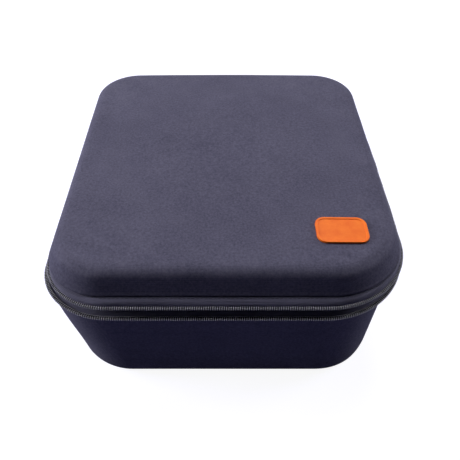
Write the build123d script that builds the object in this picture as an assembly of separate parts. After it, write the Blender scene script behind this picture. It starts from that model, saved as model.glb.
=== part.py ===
# Moulded zip-round carry case for loupes, in millimetres.
# The origin is the centre of the flat underside. X runs to the right, Y to the back and Z up.
# At rest the lid is down and the zip is undone as far as the two rear corners.
import os
from dataclasses import dataclass, replace
from math import atan2, degrees

from build123d import *

os.makedirs("parts", exist_ok=True)

# Outline of both shells where their walls end
case_width = 250.0
case_depth = 274.0
case_height = 125.0
rim_radius = 48.0

# Heights: the lid's wall and crown, and the band between the two walls that holds the zip
lid_height = 19.8
zip_band_height = 17.9
parting_share = 0.33

# Base shell
base_side_lean = 6.5
base_end_lean = 3.5
base_floor_radius = 45.0
base_bottom_rounding = 12.3

# Lid shell
lid_wall_lean = 7.3
lid_crown_rise = 1.5
lid_crown_radius = 45.0
lid_edge_rounding = 9.0

# Laminate of each shell, from the outside in
cover_thickness = 0.6
foam_thickness = 2.95
lining_thickness = 0.45
glue_line = 0.05

# Pressed rim: the wall steps in by the channel, and the two lips face each other
stitch_channel = 1.6
lip_gap = 0.7
binding_thickness = 0.5
binding_leg = 7.0

# Zip chain
coil_radius = 1.5
tape_thickness = 0.6
tape_clearance = 0.2
zip_corner_radius = 50.0
zip_flare_front = 3.2
zip_flare_side = 2.0
zip_flare_left_slack = 5.2
zip_stand_off_back = 4.2
row_half_gap_back = 2.3
row_spread_front = 2.2
lid_tape_rise = 6.2
lid_hem_height = 4.6
base_tape_rise = 0.7
base_hem_height = 1.8
tail_hem_start = 1.6

# Sliders, seen along the zip: two plates either side of the coils
slider_length = 11.0
slider_half_height = 4.6
slider_tail_half_height = 4.45
slider_plate = 0.8
slider_running_gap = 0.25
slider_flange = 0.5
slider_slot_half = 0.55
slider_post_half = 0.6
slider_post_length = 4.0
slider_post_setback = 0.5
slider_mouth_margin = 1.2
slider_corner = 1.2
bridge_half_length = 3.6
bridge_bar = 1.0
bridge_half_height = 0.8
bridge_headroom = 1.5

# Pull tabs
tab_thickness = 1.2
tab_length = 27.0
tab_half_height = 2.7
tab_eye_reach = 4.4
tab_eye_half = 1.2
tab_pivot_gap = 0.15
tab_rib_count = 4
tab_rib_pitch = 3.0
tab_rib_width = 1.2
tab_rib_height = 0.3
tab_rib_inset = 1.6

# Closed tails of the zip, and the fabric hinge between them
closed_tail_length = 32.75
end_stop_length = 2.5
end_stop_half_height = 4.2
end_stop_half_thickness = 1.9
end_stop_rounding = 0.8
hinge_thickness = 0.8
hinge_lid_reach = 10.0
hinge_base_reach = 5.4
hinge_lid_sewn_height = 3.6
hinge_base_sewn_height = 1.4
hinge_lining_reach = 9.0
hinge_lining_overlap = 27.5

# Foam inside
foam_clearance = 0.3
tray_below_wall = 3.3
pocket_margin = 16.0
pocket_divider = 14.0
loupe_pocket_depth = 100.0
battery_pocket_width = 84.0
accessory_pocket_depth = 36.0
loupe_pocket_floor = 24.0
battery_pocket_floor = 38.0
accessory_pocket_floor = 58.0
lid_pad_thickness = 12.0
lid_pad_margin = 14.0

# Blank badge on the lid
badge_width = 36.0
badge_depth = 24.0
badge_corner = 7.0
badge_from_right = 45.0
badge_from_front = 43.0
badge_thickness = 1.1
badge_rim_height = 0.5
badge_rim_width = 1.7

# Working sizes: a cutting block wider than the case, how far blocks that are fused or cut run
# past each other, the leeway for finding edges by height, and a rounding's share of what it rounds
far = 1000.0
overlap = 1.0
height_leeway = 0.1
rounding_share = 0.8

# Depths below the outer skin at which each layer starts and ends
foam_outer = cover_thickness + glue_line
foam_inner = foam_outer + foam_thickness
lining_outer = foam_inner + glue_line
lining_inner = lining_outer + lining_thickness
binding_outer = lining_inner + glue_line
binding_inner = binding_outer + binding_thickness
content_depth = lining_inner + foam_clearance

lid_wall_bottom = case_height - lid_height
base_wall_top = lid_wall_bottom - zip_band_height
crown_edge = case_height - lid_crown_rise
parting = base_wall_top + zip_band_height * parting_share
lip_edge_base = parting - lip_gap / 2
lip_edge_lid = parting + lip_gap / 2


@dataclass
class Outline:
    # A rounded rectangle seen from above
    left: float
    right: float
    front: float
    back: float
    radius: float

    def grown(self, by):
        return Outline(self.left - by, self.right + by, self.front - by, self.back + by, self.radius + by)

    def face(self, z):
        centre = Pos((self.left + self.right) / 2, (self.front + self.back) / 2, z)
        return (centre * RectangleRounded(self.right - self.left, self.back - self.front, self.radius)).face()

    def prism(self, low, high):
        return extrude(self.face(low), high - low, dir=(0, 0, 1))


def blended(first, second, share):
    # The outline part of the way from one outline to another
    def between(one, other):
        return one + (other - one) * share

    return Outline(
        between(first.left, second.left),
        between(first.right, second.right),
        between(first.front, second.front),
        between(first.back, second.back),
        between(first.radius, second.radius),
    )


def centred(half_width, half_depth, radius):
    return Outline(-half_width, half_width, -half_depth, half_depth, radius)


def tapered(lower, low, upper, high):
    return loft([lower.face(low), upper.face(high)], ruled=True)


def slab(low, high):
    return Pos(0, 0, (low + high) / 2) * Box(far, far, high - low)


rim = centred(case_width / 2, case_depth / 2, rim_radius)
floor = centred(case_width / 2 - base_side_lean, case_depth / 2 - base_end_lean, base_floor_radius)
crown = replace(rim.grown(-lid_wall_lean), radius=lid_crown_radius)
lip = rim.grown(-stitch_channel)

crown_half = case_depth / 2 - lid_wall_lean
crown_ball_radius = (crown_half**2 + lid_crown_rise**2) / (2 * lid_crown_rise)


def crown_ball(rise):
    # The ball whose top is the lid's crowned panel, raised or sunk by a distance
    return Pos(0, 0, case_height - crown_ball_radius) * Sphere(crown_ball_radius + rise)


def base_wall(depth):
    # The base's wall and floor as one solid block, a given depth below its skin
    def outline_at(z):
        return blended(floor, rim, z / base_wall_top).grown(-depth)

    block = tapered(outline_at(depth), depth, outline_at(base_wall_top), base_wall_top)
    bottom = [edge for edge in block.edges() if edge.bounding_box().max.Z < depth + height_leeway]
    return fillet(bottom, base_bottom_rounding - depth)


def lid_wall(depth):
    # The lid's wall and crowned top as one solid block, a given depth below its skin
    lean_height = crown_edge - lid_wall_bottom
    above = case_height + lean_height

    def outline_at(z):
        return blended(rim, crown, (z - lid_wall_bottom) / lean_height).grown(-depth)

    block = tapered(outline_at(lid_wall_bottom), lid_wall_bottom, outline_at(above), above)
    block = (block & crown_ball(-depth)).solid()
    middle = (lid_wall_bottom + case_height) / 2
    top = [edge for edge in block.edges() if edge.bounding_box().min.Z > middle]
    return fillet(top, lid_edge_rounding - depth)


def base_block(depth, top):
    # Wall block whose shoulder is a depth below the skin, with its lip up to a height
    wall = base_wall(depth) & slab(-overlap, base_wall_top - depth)
    return (wall + lip.grown(-depth).prism(base_wall_top - depth - overlap, top)).solid()


def lid_block(depth, bottom):
    wall = lid_wall(depth) & slab(lid_wall_bottom + depth, case_height + overlap)
    return (wall + lip.grown(-depth).prism(bottom, lid_wall_bottom + depth + overlap)).solid()


def base_hollow(depth):
    # The space inside the base, open upwards past the parting line
    return (base_wall(depth) + rim.grown(-depth).prism(base_wall_top, lid_wall_bottom)).solid()


def lid_hollow(depth):
    return (lid_wall(depth) + rim.grown(-depth).prism(base_wall_top, lid_wall_bottom)).solid()


def save(node, shape):
    export_step(shape, "parts/" + node + ".step")


# The two laminated shells, each in three bonded layers
base_lip_top = lip_edge_base - binding_thickness - glue_line
lid_lip_bottom = lip_edge_lid + binding_thickness + glue_line

base_cover = base_block(0.0, base_lip_top) - base_block(cover_thickness, lid_wall_bottom)
base_shell = base_block(foam_outer, base_lip_top) - base_hollow(foam_inner)
base_lining = (base_hollow(lining_outer) - base_hollow(lining_inner)) & slab(0.0, base_lip_top)

lid_cover = lid_block(0.0, lid_lip_bottom) - lid_block(cover_thickness, base_wall_top)
lid_shell = lid_block(foam_outer, lid_lip_bottom) - lid_hollow(foam_inner)
lid_lining = (lid_hollow(lining_outer) - lid_hollow(lining_inner)) & slab(lid_lip_bottom, case_height)

save("base_outer_fabric", base_cover)
save("base_shell", base_shell)
save("base_lining", base_lining)
save("lid_outer_fabric", lid_cover)
save("lid_shell", lid_shell)
save("lid_lining", lid_lining)


# Binding tape folded over the raw edge of each lip, with a leg down the inside
def binding(hollow, edge, inward):
    leg_end = edge + inward * binding_leg
    fold_end = edge + inward * binding_thickness
    inside = hollow(binding_inner)
    leg = (hollow(binding_outer) - inside) & slab(min(edge, leg_end), max(edge, leg_end))
    fold = lip.prism(min(edge, fold_end), max(edge, fold_end)) - inside
    return leg + fold


save("base_edge_binding", binding(base_hollow, lip_edge_base, -1))
save("lid_edge_binding", binding(lid_hollow, lip_edge_lid, 1))

# The zip's two rows lie in planes that part slightly towards the front
zip_back = case_depth / 2 + zip_stand_off_back
lid_row = Outline(
    -case_width / 2 - zip_flare_side,
    case_width / 2 + zip_flare_side,
    -case_depth / 2 - zip_flare_front,
    zip_back,
    zip_corner_radius,
)
base_row = replace(lid_row, left=lid_row.left - zip_flare_left_slack)
row_angle = degrees(atan2(row_spread_front, case_depth))
hinge_line = Axis((0, zip_back, parting), (1, 0, 0))
lid_row_z = parting + row_half_gap_back
base_row_z = parting - row_half_gap_back
tape_seat = tape_clearance - stitch_channel

# Along the back, from the corner inwards: open rows, slider, closed tail, end stop, hinge
slider_mouth = lid_row.right - zip_corner_radius - slider_mouth_margin
slider_park = slider_mouth - slider_length / 2
tail_end = slider_mouth + tape_clearance
row_start = tail_end + tape_clearance
tail_start = tail_end - closed_tail_length
stop_start = tail_start - glue_line - end_stop_length
hinge_half_length = stop_start - tape_clearance
hinge_lining_half_length = hinge_half_length + hinge_lining_overlap


def coil(row, z, start):
    # One row of the zip as a round bead, open across the middle of the back
    r = row.radius
    right_back = CenterArc((row.right - r, row.back - r, z), r, 90, -90)
    right_front = CenterArc((row.right - r, row.front + r, z), r, 0, -90)
    left_front = CenterArc((row.left + r, row.front + r, z), r, 270, -90)
    left_back = CenterArc((row.left + r, row.back - r, z), r, 180, -90)
    arcs = [right_back, right_front, left_front, left_back]
    edges = [Line((start, row.back, z), right_back @ 0)]
    for arc, following in zip(arcs, arcs[1:]):
        edges += [arc, Line(arc @ 1, following @ 0)]
    edges += [left_back, Line(left_back @ 1, (-start, row.back, z))]
    section = Plane((start, row.back, z), x_dir=(0, 1, 0), z_dir=(1, 0, 0)) * Circle(coil_radius)
    return sweep(section, path=Wire([edge.edge() for edge in edges]))


def tape(row, edge_z, rise, hem_height):
    # A sheet from the coil up to the lip, and its sewn hem against the lip
    seat = lip.grown(tape_clearance)
    edge = row.grown(-coil_radius - glue_line)
    top = edge_z + rise
    sheet = tapered(edge, edge_z, seat, top)
    sheet = sheet - Pos(0, 0, -tape_thickness) * tapered(edge, edge_z, seat, top)
    hem = seat.grown(tape_thickness).prism(top - hem_height, top)
    inside = seat.prism(0.0, case_height)
    middle_back = Pos(0, case_depth / 2, 0) * Box(2 * row_start, case_depth, far)
    return (sheet + hem) - inside - middle_back


def upright_face(x, points):
    # A closed outline across the zip, given as distance behind the rim and height
    placed = [(x, case_depth / 2 + out, z) for out, z in points]
    return Face(Wire.make_polygon(placed, close=True))


def tail_tape(away):
    # Tape of one row's closed tail: from the coil to a fold, in to the lip and along it
    half = tape_thickness / 2
    coil_side = parting + away * (row_half_gap_back + coil_radius + glue_line)
    fold_near = parting + away * (slider_half_height + slider_running_gap)
    fold_far = fold_near + away * tape_thickness
    hem_end = parting + away * tail_hem_start
    points = [
        (zip_stand_off_back + half, coil_side),
        (zip_stand_off_back + half, fold_far),
        (tape_seat, fold_far),
        (tape_seat, hem_end),
        (tape_seat + tape_thickness, hem_end),
        (tape_seat + tape_thickness, fold_near),
        (zip_stand_off_back - half, fold_near),
        (zip_stand_off_back - half, coil_side),
    ]
    return extrude(upright_face(tail_start, points), row_start - tail_start, dir=(1, 0, 0))


def left_of(shape):
    # The same piece on the other side of the case
    return mirror(shape, about=Plane.YZ)


def save_pair(node, shape):
    save("right_" + node, shape)
    save("left_" + node, left_of(shape))


# Tapes and coils round the sides and front, and the closed tails along the back
lid_tape = tape(lid_row, lid_row_z + coil_radius - tape_thickness, lid_tape_rise, lid_hem_height)
base_tape = tape(base_row, base_row_z, base_tape_rise, base_hem_height)
base_tail = tail_tape(-1)
save("lid_zip_tape", lid_tape.rotate(hinge_line, -row_angle))
save("lid_zip_coil", coil(lid_row, lid_row_z, row_start).rotate(hinge_line, -row_angle))
save("base_zip_tape", base_tape.rotate(hinge_line, row_angle) + base_tail + left_of(base_tail))
save("base_zip_coil", coil(base_row, base_row_z, tail_start).rotate(hinge_line, row_angle))

tail_plane = Plane((tail_start, zip_back, lid_row_z), x_dir=(0, 1, 0), z_dir=(1, 0, 0))
save_pair("tail_coil", extrude(tail_plane * Circle(coil_radius), tail_end - tail_start))
save_pair("tail_tape", tail_tape(1))

stop_centre = Pos(stop_start + end_stop_length / 2, zip_back, parting)
stop = Box(end_stop_length, 2 * end_stop_half_thickness, 2 * end_stop_half_height)
stop = fillet(stop.edges().filter_by(Axis.X), end_stop_rounding)
save_pair("end_stop", stop_centre * stop)


# Fabric hinge: a slack outer band sewn to both lips, and a flat strip inside
def hinge_band():
    near = tape_seat
    skin = tape_seat + hinge_thickness
    out = zip_stand_off_back
    half = hinge_thickness / 2
    hem_top = parting + hinge_lid_reach
    hem_bottom = parting - hinge_base_reach
    lid_sewn = hem_top - hinge_lid_sewn_height
    base_sewn = hem_bottom + hinge_base_sewn_height

    def at(offset, z):
        return (-hinge_half_length, case_depth / 2 + offset, z)

    edges = [
        Line(at(near, hem_top), at(skin, hem_top)),
        Line(at(skin, hem_top), at(skin, lid_sewn)),
        ThreePointArc(at(skin, lid_sewn), at(out + half, parting), at(skin, base_sewn)),
        Line(at(skin, base_sewn), at(skin, hem_bottom)),
        Line(at(skin, hem_bottom), at(near, hem_bottom)),
        Line(at(near, hem_bottom), at(near, base_sewn + hinge_thickness)),
        ThreePointArc(
            at(near, base_sewn + hinge_thickness), at(out - half, parting), at(near, lid_sewn - hinge_thickness)
        ),
        Line(at(near, lid_sewn - hinge_thickness), at(near, hem_top)),
    ]
    outline = Wire([edge.edge() for edge in edges])
    return extrude(Face(outline), 2 * hinge_half_length, dir=(1, 0, 0))


hinge_lining = Pos(0, case_depth / 2 - binding_inner - tape_clearance - tape_thickness / 2, parting) * Box(
    2 * hinge_lining_half_length, tape_thickness, 2 * hinge_lining_reach
)
save("hinge_strip", hinge_band())
save("hinge_lining", hinge_lining)

# Sliders: built about their own middle, mouth towards +X, coils above and below the axis
channel_half = coil_radius + slider_running_gap
plate_face = channel_half + slider_plate


def slider_profile(overrun, shrink):
    # The side view of a slider, wider at the mouth, lying in the X Z plane
    reach = slider_length / 2 + overrun
    tail_half = slider_tail_half_height - shrink
    mouth_half = slider_half_height - shrink
    corners = [(-reach, -tail_half), (reach, -mouth_half), (reach, mouth_half), (-reach, tail_half)]
    return Face(Wire.make_polygon([(x, 0, z) for x, z in corners], close=True))


def slider_slice(profile, half_thickness):
    return extrude(profile, half_thickness, dir=(0, 1, 0), both=True)


def slider_body():
    body = slider_slice(slider_profile(0.0, 0.0), plate_face)
    body = fillet(body.edges().filter_by(Axis.Y), slider_corner)
    body -= slider_slice(slider_profile(overlap, slider_flange), channel_half)
    body -= Box(2 * slider_length, 2 * slider_slot_half, 4 * slider_half_height)
    post_middle = slider_length / 2 - slider_post_setback - slider_post_length / 2
    post = Box(slider_post_length, 2 * channel_half + slider_plate, 2 * slider_post_half)
    post = fillet(post.edges().filter_by(Axis.Y), slider_post_half * rounding_share)
    bridge_height = bridge_headroom + bridge_bar
    arch = Pos(0, plate_face + bridge_height / 2, 0) * Box(
        2 * bridge_half_length, bridge_height, 2 * bridge_half_height
    )
    arch = fillet(arch.edges().filter_by(Axis.Z).group_by(Axis.Y)[-1], bridge_bar * rounding_share)
    under = Pos(0, plate_face + bridge_headroom / 2, 0) * Box(
        2 * (bridge_half_length - bridge_bar), bridge_headroom, 4 * bridge_half_height
    )
    return body + Pos(post_middle, 0, 0) * post + (arch - under)


tab_pivot = plate_face + tab_pivot_gap + tab_thickness / 2


def pull_tab():
    # Lies along the closed tail, hooked under the slider's bridge by its eye
    half = tab_thickness / 2
    length = tab_length - tab_half_height
    blade = Pos(-length / 2, 0, 0) * Box(length, tab_thickness, 2 * tab_half_height)
    tip = Rot(90, 0, 0) * Cylinder(tab_half_height, tab_thickness)
    tab = blade + Pos(-length, 0, 0) * tip
    tab -= Pos(-tab_eye_reach / 2, 0, 0) * Box(tab_eye_reach, 2 * tab_thickness, 2 * tab_eye_half)
    tab += Cylinder(half, 2 * tab_half_height)
    rib = Box(tab_rib_width, tab_rib_height, 2 * tab_half_height - tab_rib_inset)
    for number in range(tab_rib_count):
        tab += Pos(-length + number * tab_rib_pitch, half + tab_rib_height / 2, 0) * rib
    return Pos(0, tab_pivot, 0) * tab


parked = Pos(slider_park, zip_back, parting)
save_pair("slider_body", parked * slider_body())
save_pair("pull_tab", parked * pull_tab())

# Foam: a floor pad, walls and dividers that make the tray's pockets, and a pad in the lid
inner_block = base_wall(content_depth)
tray_top = base_wall_top - tray_below_wall
pockets = blended(floor, rim, loupe_pocket_floor / base_wall_top).grown(-content_depth - pocket_margin)
loupe_front = pockets.back - loupe_pocket_depth
front_row_back = loupe_front - pocket_divider
battery_right = pockets.left + battery_pocket_width
light_left = battery_right + pocket_divider
accessory_back = pockets.front + accessory_pocket_depth
light_front = accessory_back + pocket_divider


def foam_block(node, left, right, front, back, high=tray_top):
    # A block glued to its neighbours, cut to the base's wall where it meets it
    low = loupe_pocket_floor
    middle = Pos((left + right) / 2, (front + back) / 2, (low + high + glue_line) / 2)
    box = Box(right - left - 2 * glue_line, back - front - 2 * glue_line, high - low - glue_line)
    save("foam_" + node, inner_block & middle * box)


save("foam_floor_pad", inner_block & slab(0.0, loupe_pocket_floor))
foam_block("back_wall", rim.left, rim.right, pockets.back, rim.back)
foam_block("front_wall", rim.left, rim.right, rim.front, pockets.front)
foam_block("left_wall", rim.left, pockets.left, pockets.front, pockets.back)
foam_block("right_wall", pockets.right, rim.right, pockets.front, pockets.back)
foam_block("cross_divider", pockets.left, pockets.right, front_row_back, loupe_front)
foam_block("middle_divider", battery_right, light_left, pockets.front, front_row_back)
foam_block("short_divider", light_left, pockets.right, accessory_back, light_front)
foam_block("battery_riser", pockets.left, battery_right, pockets.front, front_row_back, battery_pocket_floor)
foam_block("light_riser", light_left, pockets.right, light_front, front_row_back, battery_pocket_floor)
foam_block("accessory_riser", light_left, pockets.right, pockets.front, accessory_back, accessory_pocket_floor)

pad_edge = rim.grown(-lining_inner - lid_pad_margin)
lid_pad_low = case_height - content_depth - lid_pad_thickness
save("lid_foam_pad", pad_edge.prism(lid_pad_low, case_height) & lid_wall(content_depth))

# Badge: a soft plate that follows the crown, with a plain raised rim
badge_place = Pos(case_width / 2 - badge_from_right, badge_from_front - case_depth / 2, 0)
badge_outline = centred(badge_width / 2, badge_depth / 2, badge_corner)
badge_low = lid_wall_bottom
badge_high = case_height + 2 * badge_thickness
plate = badge_place * badge_outline.prism(badge_low, badge_high)
field = badge_place * badge_outline.grown(-badge_rim_width).prism(badge_low, badge_high)
field -= crown_ball(badge_thickness)
plate = (plate & crown_ball(badge_thickness + badge_rim_height)) - crown_ball(glue_line) - field
save("badge", plate)
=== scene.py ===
import math

import bmesh
import bpy
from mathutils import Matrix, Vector, noise


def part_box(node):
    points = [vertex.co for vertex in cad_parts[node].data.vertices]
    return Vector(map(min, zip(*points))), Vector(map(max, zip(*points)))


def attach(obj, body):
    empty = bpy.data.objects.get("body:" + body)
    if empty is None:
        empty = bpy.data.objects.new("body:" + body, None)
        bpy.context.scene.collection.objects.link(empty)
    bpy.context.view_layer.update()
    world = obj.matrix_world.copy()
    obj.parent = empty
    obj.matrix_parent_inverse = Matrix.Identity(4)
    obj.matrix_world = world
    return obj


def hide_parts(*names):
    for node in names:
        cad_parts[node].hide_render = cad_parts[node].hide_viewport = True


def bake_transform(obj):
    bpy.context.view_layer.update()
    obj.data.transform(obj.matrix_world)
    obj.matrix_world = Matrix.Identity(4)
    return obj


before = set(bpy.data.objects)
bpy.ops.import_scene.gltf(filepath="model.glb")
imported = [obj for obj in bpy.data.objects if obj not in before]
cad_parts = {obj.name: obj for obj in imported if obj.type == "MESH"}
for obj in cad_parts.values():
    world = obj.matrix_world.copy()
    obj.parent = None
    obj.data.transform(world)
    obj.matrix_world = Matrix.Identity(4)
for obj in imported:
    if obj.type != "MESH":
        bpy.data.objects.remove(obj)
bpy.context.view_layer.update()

scene = bpy.context.scene
mm = 0.001  # lengths are in millimetres unless a comment says otherwise, meshes in metres

# The case's main sizes, read from the frame where a CAD node gives them
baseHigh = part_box("base_outer_fabric")[1]
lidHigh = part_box("lid_outer_fabric")[1]
case = {
    "halfWidth": baseHigh[0] / mm,
    "halfDepth": baseHigh[1] / mm,
    "height": lidHigh[2] / mm,
    "rimRadius": 48.0, "channel": 1.6, "parting": 93.2,
    "cornerEase": (6.0, 0.0),  # how much rounder the front's right and left corners are
}
baseShape = {
    "wallTop": 87.3, "sideLean": 6.5, "endLean": 3.5,
    "floorRadius": 45.0, "bottomRounding": 12.3, "leastRadius": 4.0,
    # the loose walls: heights over which slack grows, eases off again, and how much it eases
    "slackGrowth": 80.0,
    "slackEase": (70, 20, 0.2),
    "slackBack": (30, 110),  # how far in front of the back it starts, and over what distance
    "slackSide": (30, 70),  # the same outwards from the middle
}
lidShape = {
    "wallBottom": 105.2, "lean": 7.3, "backLean": 3.9, "crownRise": 1.5,
    "crownRadius": 45.0, "backRadius": 34.0, "cornerEase": (6.0, -7.0), "edgeRounding": 9.0,
    "crownBlend": 0.8,  # the share of the rounding over which the edge takes up the crown
}
layers = {"cover": 0.6, "glue": 0.05, "foam": 2.95, "lining": 0.45}
foamDepth = layers["cover"] + layers["glue"]
liningDepth = foamDepth + layers["foam"] + layers["glue"]

# How many points each stretch of a loop round the case gets
cornerSteps = 26
sideSteps = 64
frontSteps = 58
stubSteps = 3


def smooth(t):
    # Rises from 0 to 1 without a kink at either end
    t = min(1.0, max(0.0, t))
    return t * t * (3 - 2 * t)


def mixed(a, b, t):
    return a + (b - a) * t


# Outlines seen from above: left, right, front, back and the corner radii from the back right round
def cornerRadii(back, front, depth, ease):
    # The front corners' own radii differ outside, and not where the lining lies
    share = max(0.0, 1 - depth / liningDepth)
    right, left = ease
    return (back, front + right * share, front + left * share, back)


def rimOutline(by=0.0):
    r = case["rimRadius"] + by
    w = case["halfWidth"] + by
    d = case["halfDepth"] + by
    return (-w, w, -d, d, cornerRadii(r, r, -by, case["cornerEase"]))


def loopRound(outline, start=None):
    # Points and outward directions round an outline, from the back's middle to the right.
    # With a start the loop is open across the back between plus and minus that distance.
    left, right, front, back, radii = outline
    backRight, frontRight, frontLeft, backLeft = radii
    places = []

    def straight(a, b, steps, out, last=False):
        for i in range(steps + (1 if last else 0)):
            t = i / steps
            places.append((mixed(a[0], b[0], t), mixed(a[1], b[1], t), out[0], out[1]))

    def corner(cx, cy, r, fromAngle):
        for i in range(cornerSteps):
            a = math.radians(fromAngle - 90.0 * i / cornerSteps)
            places.append((cx + r * math.cos(a), cy + r * math.sin(a), math.cos(a), math.sin(a)))

    first, backSteps = (0, frontSteps // 2) if start is None else (start, stubSteps)
    straight((first, back), (right - backRight, back), backSteps, (0, 1))
    corner(right - backRight, back - backRight, backRight, 90)
    straight((right, back - backRight), (right, front + frontRight), sideSteps, (1, 0))
    corner(right - frontRight, front + frontRight, frontRight, 0)
    straight((right - frontRight, front), (left + frontLeft, front), frontSteps, (0, -1))
    corner(left + frontLeft, front + frontLeft, frontLeft, -90)
    straight((left, front + frontLeft), (left, back - backLeft), sideSteps, (-1, 0))
    corner(left + backLeft, back - backLeft, backLeft, 180)
    straight((left + backLeft, back), (-first, back), backSteps, (0, 1), last=start is not None)
    return places


def linked(name, data):
    # A new object in the scene, smooth where it is a mesh
    if isinstance(data, bpy.types.Mesh):
        data.polygons.foreach_set("use_smooth", [True] * len(data.polygons))
    obj = bpy.data.objects.new(name, data)
    scene.collection.objects.link(obj)
    return obj


def makeObject(name, points, faces, material):
    mesh = bpy.data.meshes.new(name)
    mesh.from_pydata([(p[0] * mm, p[1] * mm, p[2] * mm) for p in points], [], faces)
    mesh.validate()
    work = bmesh.new()
    work.from_mesh(mesh)
    bmesh.ops.recalc_face_normals(work, faces=work.faces)
    work.to_mesh(mesh)
    work.free()
    mesh.materials.append(material)
    return linked(name, mesh)


def skinFaces(loops, perLoop, closedRound):
    # Quads between neighbouring loops of equal length
    faces = []
    steps = perLoop if closedRound else perLoop - 1
    for k in range(loops - 1):
        a = k * perLoop
        b = a + perLoop
        for i in range(steps):
            j = (i + 1) % perLoop
            faces.append((a + i, a + j, b + j, b + i))
    return faces


def sweptPiece(name, rings, material):
    # rings[i] is the closed cross-section at step i along the path, and both ends are capped
    count = len(rings[0])
    points = [p for ring in rings for p in ring]
    faces = skinFaces(len(rings), count, True)
    last = (len(rings) - 1) * count
    faces.append(tuple(range(count)))
    faces.append(tuple(last + i for i in reversed(range(count))))
    return makeObject(name, points, faces, material)


def thickened(obj, thickness, offset):
    solid = obj.modifiers.new("cloth", "SOLIDIFY")
    solid.thickness = thickness * mm
    solid.offset = offset
    return applyModifiers(obj)


def applyModifiers(obj):
    # Makes what the modifiers show the piece's own mesh
    graph = bpy.context.evaluated_depsgraph_get()
    graph.update()
    mesh = bpy.data.meshes.new_from_object(obj.evaluated_get(graph))
    obj.modifiers.clear()
    obj.data = mesh
    return obj


def fillSockets(tree, node, given):
    # Each socket gets a link or a plain value
    for key, value in given.items():
        if isinstance(value, bpy.types.NodeSocket):
            tree.links.new(value, node.inputs[key])
        else:
            node.inputs[key].default_value = value


def treeNode(tree, kind, given=None, **settings):
    # One node of any tree, with its settings and what goes into its sockets
    node = tree.nodes.new(kind)
    for key, value in settings.items():
        setattr(node, key, value)
    fillSockets(tree, node, given or {})
    return node


# Materials. Each is a small node tree on Object coordinates.
class Tree:
    # A short way to add nodes to one material
    def __init__(self, name):
        self.material = bpy.data.materials.new(name)
        self.material.use_nodes = True
        self.tree = self.material.node_tree
        self.shader = self.tree.nodes["Principled BSDF"]
        self.place = self.add("ShaderNodeTexCoord").outputs["Object"]

    def add(self, kind, given=None, **settings):
        return treeNode(self.tree, kind, given, **settings)

    def calc(self, operation, a, b=0.0):
        return self.add("ShaderNodeMath", {0: a, 1: b}, operation=operation).outputs[0]

    def times(self, a, b):
        return self.calc("MULTIPLY", a, b)

    def plus(self, a, b):
        return self.calc("ADD", a, b)

    def noise(self, scale, detail=3.0, rough=0.55):
        return self.add("ShaderNodeTexNoise", {
            "Vector": self.place, "Scale": scale, "Detail": detail, "Roughness": rough}).outputs["Fac"]

    def bands(self, direction, pitch):
        # Soft parallel ribs across one direction, pitch millimetres apart
        return self.add("ShaderNodeTexWave", {
            "Vector": self.place, "Scale": 2 * math.pi / (20 * pitch * mm), "Distortion": 0.6, "Detail": 1.0,
            "Detail Scale": 1.0}, wave_type="BANDS", bands_direction=direction).outputs["Fac"]

    def span(self, value, low, high, outLow=0.0, outHigh=1.0):
        # Stretches the range from low to high over the range from outLow to outHigh
        return self.add("ShaderNodeMapRange", {
            "Value": value, "From Min": low, "From Max": high, "To Min": outLow, "To Max": outHigh,
        }).outputs["Result"]

    def blend(self, share, *colours):
        first, second = (c if isinstance(c, bpy.types.NodeSocket) else (*c, 1.0) for c in colours)
        return self.add(
            "ShaderNodeMix", {"Factor": share, "A": first, "B": second}, data_type="RGBA").outputs["Result"]

    def bump(self, height, depth, strength=1.0):
        node = self.add("ShaderNodeBump", {"Height": height, "Distance": depth * mm, "Strength": strength})
        self.look({"Normal": node.outputs["Normal"]})

    def look(self, given):
        fillSockets(self.tree, self.shader, given)

    def finish(self, colour, roughness, sheen=0.0, specular=0.5, metallic=0.0):
        self.look({
            "Base Color": colour, "Roughness": roughness, "Sheen Weight": sheen, "Sheen Roughness": 0.5,
            "Specular IOR Level": specular, "Metallic": metallic})
        return self.material


def clothMaterial(name, dark, light, pitch, fibre, sheen, depth, wear=0.0):
    # Knitted or woven cloth: fine crossing ribs, stray fibres and slow changes of tone
    tree = Tree(name)
    ribs = tree.times(tree.bands("X", pitch), tree.bands("Y", pitch))
    upright = tree.times(ribs, tree.plus(tree.bands("Z", pitch), 0.35))
    fuzz = tree.noise(fibre, detail=5.0, rough=0.7)
    height = tree.plus(upright, tree.times(fuzz, 0.8))
    slow = tree.noise(22.0, detail=4.0)
    tone = tree.plus(tree.times(fuzz, 0.8), tree.times(slow, 0.2))
    tone = tree.plus(tone, tree.times(upright, 0.12))
    colour = tree.blend(tree.span(tone, 0.3, 0.78), dark, light)
    if wear:
        rub = tree.add("ShaderNodeAttribute", attribute_name="wear").outputs["Fac"]
        rub = tree.times(rub, tree.span(tree.noise(70.0, 5.0), 0.35, 0.7))
        lighter = tuple(min(1.0, c * 1.5 + 0.01) for c in light)
        colour = tree.blend(tree.times(rub, wear), colour, lighter)
    rough = tree.span(fuzz, 0.2, 0.8, 0.78, 0.95)
    tree.bump(height, depth)
    return tree.finish(colour, rough, sheen=sheen, specular=0.01)


def nylonMaterial(name, dark, light):
    # Drawn nylon wire, glossy enough to glint where little light falls
    tree = Tree(name)
    tree.look({"IOR": 1.7})
    scuff = tree.noise(260.0, detail=4.0)
    colour = tree.blend(tree.span(scuff, 0.35, 0.7), dark, light)
    tree.bump(tree.noise(1500.0), 0.05, 0.5)
    return tree.finish(colour, tree.span(scuff, 0.3, 0.7, 0.24, 0.36), specular=0.9)


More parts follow.
